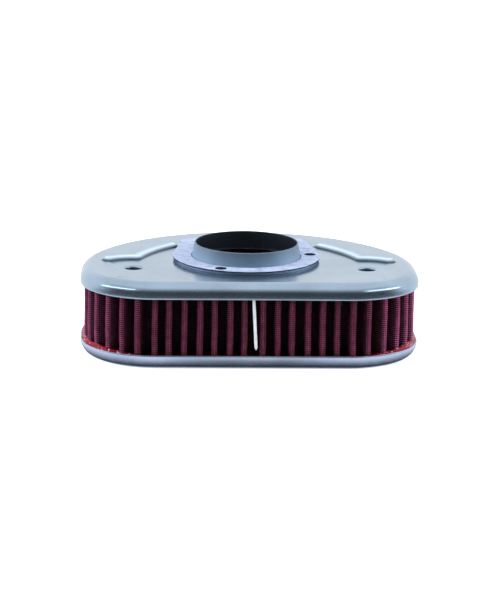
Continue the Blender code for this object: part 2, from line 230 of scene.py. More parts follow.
def shaded_by(tree, name, stops, colour):
    """A colour multiplied by a tone that follows a mesh attribute."""
    read = node(tree, "ShaderNodeAttribute", {"attribute_name": name})
    tone = ramp(tree, read.outputs["Fac"], stops)
    mix = node(tree, "ShaderNodeMix", {"data_type": "RGBA", "blend_type": "MULTIPLY"})
    mix.inputs["Factor"].default_value = 1.0
    tree.links.new(colour, mix.inputs[6])
    tree.links.new(tone, mix.inputs[7])
    return mix.outputs[2]


def shade_more(shade, name, stops):
    """Scales the base colour of a finished material where a mesh attribute says so."""
    tree = shade.node_tree
    colour = tree.nodes["Principled BSDF"].inputs["Base Color"]
    tree.links.new(shaded_by(tree, name, stops, colour.links[0].from_socket), colour)


def gasket_material():
    """Pale faced sheet with soft blotches and small dark flecks; painted shade blackens its edges."""
    shade, tree, principled = new_material("gasket_face", (0.66, 0.69, 0.83), 0.8)
    blotch = noise(tree, 120.0, 6.0, rough=0.65)
    tones = ((0.30, (0.28, 0.35, 0.52)), (0.50, (0.47, 0.55, 0.76)), (0.70, (0.56, 0.65, 0.84)))
    base = ramp(tree, blotch, tones)
    cells = node(tree, "ShaderNodeTexVoronoi", {"feature": "F1"}, Scale=420.0)
    tree.links.new(object_place(tree), cells.inputs["Vector"])
    speck = ramp(tree, cells.outputs["Distance"], ((0.0, 1.0), (0.16, 1.0), (0.24, 0.0)))
    sparse = ramp(tree, noise(tree, 260.0, 2.0), ((0.50, 0.0), (0.56, 1.0)))
    mask = node(tree, "ShaderNodeMath", {"operation": "MULTIPLY"})
    tree.links.new(speck, mask.inputs[0])
    tree.links.new(sparse, mask.inputs[1])
    mix = node(tree, "ShaderNodeMix", {"data_type": "RGBA"})
    tree.links.new(mask.outputs[0], mix.inputs["Factor"])
    tree.links.new(base, mix.inputs[6])
    mix.inputs[7].default_value = (0.10, 0.10, 0.16, 1.0)
    # Painted shade: the upright edges darkened to near black.
    sides = ((0.0, 1.0), (1.0, 0.03))
    tree.links.new(shaded_by(tree, "painted_edge_shade", sides, mix.outputs[2]), principled.inputs["Base Color"])
    bump(tree, principled, noise(tree, 1500.0, 3.0), 0.00004, 0.6)
    return shade


def cotton_material():
    """Oiled gauze: crossing threads, darker where the oil has soaked in, with painted fold shade and end
    sheen.
    """
    shade, tree, principled = new_material("oiled_gauze", (0.17, 0.016, 0.045), 0.75)
    soak = noise(tree, 90.0, 4.0)
    dark, middle, light = (0.030, 0.005, 0.012), (0.050, 0.007, 0.018), (0.080, 0.011, 0.028)
    tone = ramp(tree, soak, ((0.25, dark), (0.55, middle), (0.80, light)))
    # Painted shade down in the folds, then a painted sheen at both ends.
    tree.links.new(shaded_by(tree, "depth", PAINTED_FOLD_SHADE, tone), principled.inputs["Base Color"])
    shade_more(shade, "painted_end_sheen", PAINTED_END_SHEEN)
    rows = node(tree, "ShaderNodeTexWave", {"bands_direction": "Z"}, Scale=230.0, Distortion=1.2)
    tree.links.new(object_place(tree), rows.inputs["Vector"])
    bump(tree, principled, rows.outputs["Fac"], 0.00022, 0.8)
    bump(tree, principled, noise(tree, 1800.0, 2.0), 0.00008, 0.6)
    return shade


def wire_material(name, dark, light):
    """Coated screen wire, dulled and stained by the oil, with painted fold shade and end sheen."""
    shade, tree, principled = new_material(name, (0.30, 0.06, 0.13), 0.38, 0.25)
    tone = ramp(tree, noise(tree, 240.0, 3.0), ((0.3, dark), (0.7, light)))
    # Painted shade down in the folds, then a painted sheen at both ends.
    tree.links.new(shaded_by(tree, "depth", PAINTED_FOLD_SHADE, tone), principled.inputs["Base Color"])
    shade_more(shade, "painted_end_sheen", PAINTED_END_SHEEN)
    return shade


def resin_material():
    """Clear red casting resin, with small pale flecks painted as glints."""
    shade, tree, principled = new_material("potting_resin", (0.48, 0.006, 0.020), 0.35)
    depth = noise(tree, 160.0, 4.0)
    fleck = noise(tree, 520.0, 3.0)
    tone = ramp(tree, depth, ((0.3, (0.10, 0.001, 0.008)), (0.7, (0.30, 0.005, 0.026))))
    # Painted glints: small pale flecks mixed into the colour.
    mix = node(tree, "ShaderNodeMix", {"data_type": "RGBA"})
    tree.links.new(ramp(tree, fleck, ((0.61, 0.0), (0.66, 1.0))), mix.inputs["Factor"])
    tree.links.new(tone, mix.inputs[6])
    mix.inputs[7].default_value = (0.90, 0.62, 0.66, 1.0)
    # Painted light on the rim at both ends, painted shade between the folds and along the front.
    stops = ((0.0, 0.05), (0.5, 0.30), (1.0, 1.0))
    tree.links.new(shaded_by(tree, "clear", stops, mix.outputs[2]), principled.inputs["Base Color"])
    bump(tree, principled, noise(tree, 420.0, 3.0), 0.0008, 0.8)
    principled.inputs["Specular IOR Level"].default_value = 0.22
    return shade


def neck_material():
    """Satin steel; painted shade darkens it towards the lip and paints the inner wall near black."""
    shade = plated_steel("satin_neck", (0.26, 0.39, 0.55), (0.33, 0.47, 0.64), 0.42, 0.60)
    # Painted shade: near black on the inner wall, darker outside towards the lip.
    shade_more(shade, "tone", ((0.0, 0.08), (0.4, 0.52), (1.0, 0.90)))
    return shade


def clip_material():
    shade, tree, principled = new_material("clip_white", (0.80, 0.81, 0.86), 0.42)
    dirt = noise(tree, 300.0, 3.0)
    tone = ramp(tree, dirt, ((0.3, (0.70, 0.68, 0.76)), (0.6, (0.84, 0.85, 0.90))))
    tree.links.new(tone, principled.inputs["Base Color"])
    bump(tree, principled, noise(tree, 900.0, 2.0), 0.00005, 0.4)
    return shade


# ---------------------------------------------------------------- shapes


def mesh_points(mesh):
    """Positions of a mesh's points, one row each."""
    spots = np.empty(len(mesh.vertices) * 3)
    mesh.vertices.foreach_get("co", spots)
    return spots.reshape(-1, 3)


def move_points(mesh, spots):
    mesh.vertices.foreach_set("co", spots.ravel())
    mesh.update()


def mark(mesh, name, values, domain="POINT"):
    """Stores one number for each point or face, for the materials to read."""
    mesh.attributes.new(name, "FLOAT", domain).data.foreach_set("value", values)


def piece(name, vertices, faces, shade, smooth=40.0):
    """A mesh object from points and faces, with outward faces and smooth shading up to an angle."""
    mesh = bpy.data.meshes.new(name)
    mesh.from_pydata(vertices, [], faces)
    body = bmesh.new()
    body.from_mesh(mesh)
    bmesh.ops.recalc_face_normals(body, faces=body.faces)
    body.to_mesh(mesh)
    body.free()
    mesh.shade_smooth()
    mesh.set_sharp_from_angle(angle=math.radians(smooth))
    mesh.materials.append(shade)
    made = bpy.data.objects.new(name, mesh)
    bpy.context.scene.collection.objects.link(made)
    return made


def loft(name, rings, shade, closed_section=True, smooth=40.0):
    """A skin over equal rings of points. A closed section joins the last ring to the first."""
    count = len(rings[0])
    vertices = [tuple(point) for ring in rings for point in ring]
    columns = np.arange(count)
    following = (columns + 1) % count
    faces = []
    rows = len(rings) if closed_section else len(rings) - 1
    for row in range(rows):
        upper = row * count
        lower = ((row + 1) % len(rings)) * count
        block = np.stack([upper + columns, upper + following, lower + following, lower + columns], axis=1)
        faces.extend(block.tolist())
    if not closed_section:
        faces.append(list(range(count)))
        faces.append(list(range((len(rings) - 1) * count, len(rings) * count)))
    return piece(name, vertices, faces, shade, smooth)


def place(made, *nodes_and_slot):
    """The piece rides on the one body and stands for its solids; the slot it is given is not used."""
    *solids, slot = nodes_and_slot
    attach(made, "root")
    if solids:
        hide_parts(*solids)


def arc_points(centre, radius, start, end, steps):
    found = []
    for step in range(steps):
        angle = start + (end - start) * step / steps
        way = Vector((math.cos(angle), math.sin(angle)))
        found.append((Vector(centre) + radius * way, way))
    return found


def outline(fine=1.0):
    """Outline of the plates with outward directions, anticlockwise from the middle of the front."""
    quarter = math.pi / 2.0
    front_x = LENGTH / 2.0 - FRONT_CORNER
    front_y = -DEPTH / 2.0
    side_y = DEPTH / 2.0 - REAR_RISE
    shift = LENGTH / 2.0 - REAR_CORNER
    rear = (shift**2 + REAR_RISE**2 - REAR_CORNER**2) / (2.0 * (REAR_RISE - REAR_CORNER))
    turn = math.atan2(side_y - (DEPTH / 2.0 - rear), shift)
    down = Vector((0.0, -1.0))
    right = []
    run = round(26 * fine)
    for step in range(run):
        right.append((Vector((front_x * step / run, front_y)), down))
    right += arc_points((front_x, front_y + FRONT_CORNER), FRONT_CORNER, -quarter, 0.0, round(72 * fine))
    run = round(22 * fine)
    for step in range(run):
        height = front_y + FRONT_CORNER + (side_y - front_y - FRONT_CORNER) * step / run
        right.append((Vector((LENGTH / 2.0, height)), Vector((1.0, 0.0))))
    right += arc_points((shift, side_y), REAR_CORNER, 0.0, turn, round(52 * fine))
    right += arc_points((0.0, DEPTH / 2.0 - rear), rear, turn, quarter, round(54 * fine))
    middle = [(Vector((0.0, DEPTH / 2.0)), Vector((0.0, 1.0)))]
    left = [(Vector((-p.x, p.y)), Vector((-w.x, w.y))) for p, w in reversed(right[1:])]
    return right + middle + left


def ring_at(border, inset, height):
    return [(p.x - inset * w.x, p.y - inset * w.y, height) for p, w in border]


def bend(inset, radius, flat, upwards, steps):
    """(inset, height) pairs of a quarter bend from a wall to the flat of a plate."""
    sign = 1.0 if upwards else -1.0
    pairs = []
    for step in range(steps + 1):
        angle = math.pi / 2.0 * step / steps
        across = inset + radius * (1.0 - math.cos(angle))
        pairs.append((across, flat - sign * radius * (1.0 - math.sin(angle))))
    return pairs


def bead_crest():
    """Crest of the right-hand bead: past the neck, then round the breather hole."""
    hole = Vector(BREATHER)
    outer = []
    for step in range(25):
        angle = math.radians(94.0 - 41.0 * step / 24.0)
        outer.append(hole + BEAD_ROUND_HOLE * Vector((math.cos(angle), math.sin(angle))))
    start_x = BEAD_START_RADIUS * math.cos(BEAD_START_ANGLE)
    start = Vector((start_x, NECK.y + BEAD_START_RADIUS * math.sin(BEAD_START_ANGLE)))
    chord = outer[0] - start
    away = Vector((-chord.y, chord.x)).normalized()
    inner = []
    for step in range(25):
        along = step / 24.0
        inner.append(start + along * chord + BEAD_BOW * along * (1.0 - along) * away)
    return inner, outer


def distance_to(points, path):
    """Distance of each point from a broken line."""
    nearest = np.full(len(points), 1.0)
    for first, second in zip(path, path[1:]):
        base = np.array(first)
        step = np.array(second) - base
        share = np.clip((points - base) @ step / (step @ step), 0.0, 1.0)
        gap = np.linalg.norm(points - base - share[:, None] * step, axis=1)
        nearest = np.minimum(nearest, gap)
    return nearest


def inset_of(points):
    """Distance of each point from the outline of the plates, seen from above."""
    rim = [p for p, _ in outline(0.6)]
    return distance_to(points[:, :2], rim + rim[:1])


def folded_over(points):
    """Points of the left half moved to their mirror places on the right."""
    return np.stack([np.abs(points[:, 0]), points[:, 1]], axis=1)


def bead_gap(points):
    """Distance of each point from the crest of the nearer bead."""
    folded = folded_over(points)
    inner, outer = bead_crest()
    return np.minimum(distance_to(folded, inner), distance_to(folded, outer))


def pressed_height(points):
    """Height of the stamped forms above the flat of the plate."""
    share = np.clip(bead_gap(points) / BEAD_HALF_WIDTH, 0.0, 1.0)
    crest = BEAD_HEIGHT * (1.0 - share * share) ** 0.75
    fade = [Vector(spot) for spot in CREASE_LINE]
    crease = CREASE_HEIGHT * np.exp(-((distance_to(folded_over(points), fade) / CREASE_REACH) ** 2))
    return np.maximum(crest, crease)


def mark_painted_bead_light(made):
    """Marks the foot of each bead for a painted shade line, and its sides for a painted highlight."""
    gap = bead_gap(mesh_points(made.data))
    for name, middle, reach in (("crease", 0.0048, 0.0010), ("painted_flank_highlight", 0.0020, 0.0014)):
        mark(made.data, name, np.exp(-(((gap - middle) / reach) ** 2)))


def make_top_plate(shade):
    """Pressed cover: hem, shoulder, a flat with the stamped forms, and the same shape inside."""
    border = outline()
    hem = HEIGHT - TOP_SKIRT
    outer = [(0.00008, hem + 0.0003), (0.0, hem + 0.0007), (0.0, hem + 0.0016)]
    outer += bend(0.0, SHOULDER, HEIGHT, True, 16)
    rings = [ring_at(border, SHEET / 2.0, hem), ring_at(border, 0.00030, hem)]
    rings += [ring_at(border, inset, height) for inset, height in outer]
    opening = NECK_FOOT - NECK_WALL - 0.0010
    edge = np.array(ring_at(border, SHOULDER, 0.0))[:, :2]
    middle = np.array(NECK)
    ways = edge - middle
    ways /= np.linalg.norm(ways, axis=1)[:, None]
    hub = middle + opening * ways
    steps = 132
    flats = []
    for step in range(1, steps + 1):
        share = step / steps
        flat = edge * (1.0 - share) + hub * share
        flats.append(np.column_stack([flat, HEIGHT + pressed_height(flat)]))
    rings += [flat.tolist() for flat in flats]
    under = []
    for flat in flats[::-4]:
        under.append((flat - np.array((0.0, 0.0, SHEET))).tolist())
    rings += under
    inside = bend(SHEET, SHOULDER - SHEET, HEIGHT - SHEET, True, 8)
    rings += [ring_at(border, inset, height) for inset, height in reversed(inside)]
    rings.append(ring_at(border, SHEET - 0.00015, hem))
    plate = loft("top_plate_skin", rings, shade, smooth=50.0)
    for side in (1.0, -1.0):
        punch(plate, (side * BREATHER[0], BREATHER[1]), BREATHER_RADIUS + MOUTH_BEND, HEIGHT, 64)
    punch_screw_holes(plate, SCREW_HOLE, HEIGHT)
    bake(plate)
    mark_painted_bead_light(plate)
    place(plate, "top_plate", "zinc_plated_steel")


def round_cutter(spot, radius, height, sides):
    mesh = bpy.data.meshes.new("punch")
    body = bmesh.new()
    shape = {"segments": sides, "radius1": radius, "radius2": radius, "depth": PUNCH_LENGTH}
    bmesh.ops.create_cone(body, cap_ends=True, **shape)
    bmesh.ops.translate(body, verts=body.verts, vec=(spot[0], spot[1], height))
    body.to_mesh(mesh)
    body.free()
    made = bpy.data.objects.new("punch", mesh)
    bpy.context.scene.collection.objects.link(made)
    return made


def punch(target, spot, radius, height, sides):
    """A round hole straight down through a sheet."""
    cutter = round_cutter(spot, radius, height, sides)
    boolean = target.modifiers.new("hole", "BOOLEAN")
    boolean.operation = "DIFFERENCE"
    boolean.solver = "EXACT"
    boolean.object = cutter


def punch_screw_holes(target, radius, height):
    for angle in SCREW_ANGLES:
        spot = NECK + SCREW_CIRCLE * Vector((math.cos(angle), math.sin(angle)))
        punch(target, spot, radius, height, 48)


def bake(target):
    """Applies the modifiers and removes the helpers they used."""
    graph = bpy.context.evaluated_depsgraph_get()
    mesh = bpy.data.meshes.new_from_object(target.evaluated_get(graph))
    helpers = [modifier.object for modifier in target.modifiers if modifier.type == "BOOLEAN"]
    target.modifiers.clear()
    target.data = mesh
    for helper in helpers:
        bpy.data.objects.remove(helper, do_unlink=True)


def turned(name, profile, centre, shade):
    """A closed (radius, height) section turned round a vertical axis."""
    sides = 64
    rings = []
    for radius, height in profile:
        ring = []
        for step in range(sides):
            angle = 2.0 * math.pi * step / sides
            ring.append((centre[0] + radius * math.cos(angle), centre[1] + radius * math.sin(angle), height))
        rings.append(ring)
    return loft(name, rings, shade, smooth=50.0)


def make_breather_collars(shade):
    """Turned-in mouths of the two breather holes."""
    for word, side in (("right", 1.0), ("left", -1.0)):
        profile = [(BREATHER_RADIUS + MOUTH_BEND, HEIGHT)]
        for step in range(1, 9):
            angle = math.pi / 2.0 * step / 8.0
            across = BREATHER_RADIUS + MOUTH_BEND * (1.0 - math.sin(angle))
            profile.append((across, HEIGHT - MOUTH_BEND * (1.0 - math.cos(angle))))
        foot = HEIGHT - COLLAR
        profile += [(BREATHER_RADIUS, foot), (BREATHER_RADIUS + SHEET, foot)]
        profile.append((BREATHER_RADIUS + SHEET, HEIGHT - 0.0018))
        profile.append((BREATHER_RADIUS + MOUTH_BEND, HEIGHT - SHEET))
        collar = turned(f"breather_mouth_{word}", profile, (side * BREATHER[0], BREATHER[1]), shade)
        place(collar, "zinc_plated_steel")


def gasket_outline(inset, fine=4):
    """Gasket outline round the neck: a round front and tapering sides to a square rear."""
    radius = GASKET_RADIUS - inset
    edge = Vector((math.cos(GASKET_TAPER), math.sin(GASKET_TAPER)))
    along = Vector((-edge.y, edge.x))
    rear = GASKET_REAR - inset
    curve = GASKET_CORNER - inset
    run = (rear - curve - (radius - curve) * edge.y) / along.y
    corner = (radius - curve) * edge + run * along
    right = []
    for step in range(20 * fine + 1):
        angle = -math.pi / 2.0 + (GASKET_TAPER + math.pi / 2.0) * step / (20 * fine)
        right.append(Vector((radius * math.cos(angle), radius * math.sin(angle))))
    side = radius * edge
    finish = corner + curve * edge
    for step in range(1, 6 * fine):
        right.append(side.lerp(finish, step / (6.0 * fine)))
    for step in range(5 * fine + 1):
        angle = GASKET_TAPER + (math.pi / 2.0 - GASKET_TAPER) * step / (5.0 * fine)
        right.append(corner + curve * Vector((math.cos(angle), math.sin(angle))))
    for step in range(1, 5 * fine):
        right.append(Vector((corner.x * (1.0 - step / (5.0 * fine)), rear)))
    left = [Vector((-point.x, point.y)) for point in reversed(right[1:])]
    return right + [Vector((0.0, rear))] + left


def gasket_ring(inset, height):
    return [(NECK.x + p.x, NECK.y + p.y, height) for p in gasket_outline(inset)]


def matched_circle(radius, height):
    """A circle round the neck with a point towards each point of the gasket's outline."""
    ring = []
    for point in gasket_outline(0.0):
        way = point.normalized()
        ring.append((NECK.x + radius * way.x, NECK.y + radius * way.y, height))
    return ring


def neck_reach(height):
    """Outside radius of the slightly conical neck at a height."""
    return NECK_FOOT + (NECK_RADIUS - NECK_FOOT) * (height - FLANGE_HIGH) / (NECK_TOP - FLANGE_HIGH)


def mark_painted_neck_shade(made):
    """Tone for painted shade: 0 on the neck's inner wall, rising outside from the lip to the foot."""
    tone = []
    for vertex in made.data.vertices:
        height = vertex.co.z
        reach = (Vector(vertex.co[:2]) - NECK).length
        outside = reach > neck_reach(height) - NECK_WALL / 2.0
        drop = (NECK_TOP - height) / (NECK_TOP - FLANGE_HIGH)
        tone.append(0.4 + 0.6 * min(drop, 1.0) if outside else 0.0)
    mark(made.data, "tone", tone)


def make_neck(shade):
    """Slightly conical neck with a rolled lip, on the flange under the gasket."""
    lip = NECK_WALL / 2.0
    crown = NECK_TOP - lip
    rings = [gasket_ring(FLANGE_INSET, FLANGE_HIGH), gasket_ring(FLANGE_INSET, FLANGE_LOW)]
    rings.append(matched_circle(NECK_FOOT - NECK_WALL, FLANGE_LOW))
    middle = 0.070
    rings.append(matched_circle(neck_reach(middle) - NECK_WALL, middle))
    for step in range(9):
        angle = math.pi - math.pi * step / 8.0
        reach = neck_reach(crown) - lip + lip * math.cos(angle)
        rings.append(matched_circle(reach, crown + lip * math.sin(angle)))
    rings.append(matched_circle(neck_reach(middle), middle))
    rings.append(matched_circle(neck_reach(FLANGE_HIGH), FLANGE_HIGH))
    neck = loft("neck_shell", rings, shade, smooth=50.0)
    punch_screw_holes(neck, SCREW_HOLE, FLANGE_HIGH)
    bake(neck)
    mark_painted_neck_shade(neck)
    place(neck, "intake_neck", "neck_steel")


def make_gasket(shade):
    """Flat sheet with a softened rim; its upright faces are marked for painted shade."""
    bevel = 0.00012
    rings = [gasket_ring(bevel, GASKET_LOW), gasket_ring(0.0, GASKET_LOW + bevel)]
    rings += [gasket_ring(0.0, GASKET_HIGH - bevel), gasket_ring(bevel, GASKET_HIGH)]
    hole = neck_reach(GASKET_LOW) + 0.0003
    rings += [matched_circle(hole, GASKET_HIGH), matched_circle(hole, GASKET_LOW)]
    gasket = loft("gasket_sheet_face", rings, shade)
    punch_screw_holes(gasket, GASKET_HOLE, GASKET_HIGH)
    bake(gasket)
    painted_edge_shade = [1.0 if abs(face.normal.z) < 0.5 else 0.0 for face in gasket.data.polygons]
    mark(gasket.data, "painted_edge_shade", painted_edge_shade, "FACE")
    place(gasket, "neck_gasket", "gasket_sheet")


def dish(inset, across, rim, floor, steps):
    """(inset, height) pairs of the lower frame's rounded wall, from its rim down to its floor."""
    pairs = []
    for step in range(steps + 1):
        angle = math.pi / 2.0 * step / steps
        pairs.append((inset + across * (1.0 - math.cos(angle)), rim + (floor - rim) * math.sin(angle)))
    return pairs


def make_lower_frame(shade):
    """Dished ring with an inner lip."""
    border = outline(0.9)
    section = [(SHEET / 2.0, FRAME_SKIRT), (0.00015, FRAME_SKIRT)]
    section += dish(0.0, FRAME_ROUND, FRAME_SKIRT - 0.0002, 0.0, 16)
    lip_radius = 0.0020
    section += [(FRAME_WIDTH - a, h) for a, h in reversed(bend(0.0, lip_radius, 0.0, False, 6))]
    section += [(FRAME_WIDTH, FRAME_LIP - 0.0002), (FRAME_WIDTH - 0.0002, FRAME_LIP)]
    section.append((FRAME_WIDTH - SHEET, FRAME_LIP))
    section += [(FRAME_WIDTH - a, h) for a, h in bend(SHEET, lip_radius - SHEET, SHEET, False, 4)]
    section += list(reversed(dish(SHEET, FRAME_ROUND - SHEET, FRAME_SKIRT, SHEET, 8)))
    rings = [ring_at(border, inset, height) for inset, height in section]
    rail = loft("lower_frame_skin", rings, shade)
    place(rail, "lower_frame", "frame_steel")


def swell(made):
    """Raises the free surface of the lower resin at the feet of the folds, at both ends."""
    spots = mesh_points(made.data)
    inset = inset_of(spots)
    ridge = np.clip((inset - 0.0012) / 0.0016, 0.0, 1.0) * np.clip((0.0080 - inset) / 0.0020, 0.0, 1.0)
    ends = np.clip((np.abs(spots[:, 0]) - 0.082) / 0.030, 0.0, 1.0)
    free = spots[:, 2] > PACK_LOW - 0.001
    spots[:, 2] += np.where(free, SWELL * ridge * ends, 0.0)
    move_points(made.data, spots)


def mark_painted_resin_light(made):
    """Marks resin for painted light on its rim at both ends, and painted shade between the folds and in
    front.
    """
    spots = mesh_points(made.data)
    near = np.clip((0.0052 - inset_of(spots)) / 0.0014, 0.0, 1.0)
    ends = np.clip((np.abs(spots[:, 0]) - 0.070) / 0.016, 0.12, 1.0)
    mark(made.data, "clear", near * ends)


def make_resin(shade):
    """Cast rings of resin in both plates, with a rippled free surface."""
    border = outline(0.8)
    wall = SHEET + RESIN_GAP
    roof = HEIGHT - SHEET - RESIN_GAP
    upper = [(wall, PACK_HIGH), (wall, PACK_HIGH + 0.001)]
    upper += bend(wall, SHOULDER - wall, roof, True, 5)
    upper += [(RESIN_RING, roof), (RESIN_RING, PACK_HIGH + 0.001), (RESIN_RING - 0.001, PACK_HIGH)]
    rings = [ring_at(border, inset, height) for inset, height in upper]
    upper_ring = loft("resin_ring_upper", rings, shade)
    mark_painted_resin_light(upper_ring)
    place(upper_ring, "resin_top", "red_resin")
    level = PACK_LOW
    lower = []
    for step in range(13):
        across = wall + 0.0005 * step
        rise = 0.0007 * math.exp(-((across - wall) / 0.0007)) - 0.0002
        lower.append((across, level + rise))
    for step in range(1, 5):
        lower.append((0.007 + (RESIN_RING - 0.007) * step / 4.0, level - 0.0002))
    lower += [(RESIN_RING, wall + 0.001), (RESIN_RING - 0.001, wall)]
    lower += list(reversed(dish(wall, FRAME_ROUND - wall, level, wall, 5)))[:-1]
    rings = [ring_at(border, inset, height) for inset, height in lower]
    lower_ring = loft("resin_ring_lower", rings, shade, smooth=60.0)
    swell(lower_ring)
    mark_painted_resin_light(lower_ring)
    place(lower_ring, "resin_bottom", "red_resin")


def pleat_line(points_per_tip):
    """Middle line of the folded pack, with round outer tips and round inner folds."""
    border = outline(2.0)
    tip_inset = PLEAT_INSET + (COTTON / 2.0 + LAYER_GAP + SCREEN) / math.cos(math.radians(30.0))
    rim = [p - tip_inset * w for p, w in border]
    ways = [w for _, w in border]
    rim.append(rim[0])
    ways.append(ways[0])
    lengths = [0.0]
    pitch_line = [p - PITCH_INSET * w for p, w in zip(rim, ways)]
    for behind, ahead in zip(pitch_line, pitch_line[1:]):
        lengths.append(lengths[-1] + (ahead - behind).length)
    columns = [np.array(values) for values in zip(*[(p.x, p.y, w.x, w.y) for p, w in zip(rim, ways)])]
    perimeter = lengths[-1]

    def rim_at(distance):
        """Point of the rim at a distance along it, and the outward direction there."""
        x, y, way_x, way_y = (np.interp(distance, lengths, column) for column in columns)
        return Vector((x, y)), Vector((way_x, way_y)).normalized()

    spacing = (perimeter - SEAM_GAP) / (PLEATS - 1)
    half = FOLD_WIDTH / 2.0
    line = []
    for number in range(PLEATS):
        sway = 0.00035 * math.sin(number * 2.4) + 0.0002 * math.sin(number * 5.1)
        lengthways = (SEAM_X + SEAM_GAP / 2.0 + spacing * number + sway) % perimeter
        tip, out = rim_at(lengthways)
        along = Vector((-out.y, out.x))
        lean = 0.0003 * math.sin(number * 1.7)
        wide = half * (1.0 + 0.10 * math.sin(number * 3.3))
        line.append(tip - (wide - lean) * along - (PLEAT_DEPTH - 0.0012) * out)
        line.append(tip - wide * along - 0.010 * out)
        for step in range(points_per_tip):
            angle = math.pi * (1.0 - step / (points_per_tip - 1.0))
            line.append(tip + wide * math.cos(angle) * along + (wide * math.sin(angle) - wide) * out)
        line.append(tip + wide * along - 0.010 * out)
        line.append(tip + (wide + lean) * along - (PLEAT_DEPTH - 0.0012) * out)
        line.append(tip + (wide + lean + 0.0008) * along - (PLEAT_DEPTH - 0.0002) * out)
        if number < PLEATS - 1:
            deep, turn = rim_at((SEAM_X + SEAM_GAP / 2.0 + spacing * (number + 0.5)) % perimeter)
            line.append(deep - PLEAT_DEPTH * turn)
    return line


def cleaned(line):
    """The closed line without points that sit on top of each other."""
    kept = []
    for point in line:
        if not kept or (point - kept[-1]).length > 0.0002:
            kept.append(point)
    return kept


def offset_line(line, distance):
    """The closed line moved sideways, with mitred turns."""
    moved = []
    count = len(line)
    for place_in, point in enumerate(line):
        arriving = (point - line[place_in - 1]).normalized()
        leaving = (line[(place_in + 1) % count] - point).normalized()
        first = Vector((arriving.y, -arriving.x))
        second = Vector((leaving.y, -leaving.x))
        mitre = (first + second).normalized()
        moved.append(point + distance / max(mitre.dot(first), 0.5) * mitre)
    return moved


def settle(made):
    """Small uneven lean of the folds, the same for every layer at one place."""
    spots = mesh_points(made.data)
    x, y, z = spots.T
    share = np.clip((z - PACK_LOW) / (PACK_HIGH - PACK_LOW), 0.0, 1.0)
    free = np.sin(np.pi * share)
    lean = 0.00030 * np.sin(41.0 * x + 67.0 * y + 55.0 * z) * free
    bow = 0.00030 * np.sin(83.0 * x - 59.0 * y + 38.0 * z + 1.3) * free
    spots[:, 0] += lean
    spots[:, 1] += bow
    move_points(made.data, spots)


def mark_painted_fold_light(made, from_within=False):
    """Marks painted shade, 0 at the near edge of the pack to 1 in its folds, and a painted sheen at both
    ends.
    """
    spots = mesh_points(made.data)
    share = np.clip((inset_of(spots) - PLEAT_INSET) / PLEAT_DEPTH, 0.0, 1.0)
    if from_within:
        share = 1.0 - share
    ends = np.clip((np.abs(spots[:, 0]) - 0.080) / 0.034, 0.0, 1.0)
    mark(made.data, "painted_end_sheen", ends)
    mark(made.data, "depth", share)


def make_cotton(shade):
    """One sheet along the folds, standing between the two rings of resin."""
    line = cleaned(pleat_line(9))
    half = COTTON / 2.0
    rings = []
    levels = 9
    for distance, order in ((half, range(levels)), (-half, reversed(range(levels)))):
        moved = offset_line(line, distance)
        for level in order:
            height = PACK_LOW - 0.0003 + (PACK_HIGH - PACK_LOW + 0.0006) * level / (levels - 1.0)
            rings.append([(p.x, p.y, height) for p in moved])
    cotton = loft("folded_gauze", rings, shade, smooth=60.0)
    settle(cotton)
    mark_painted_fold_light(cotton)
    place(cotton, "cotton_media", "oiled_cotton")


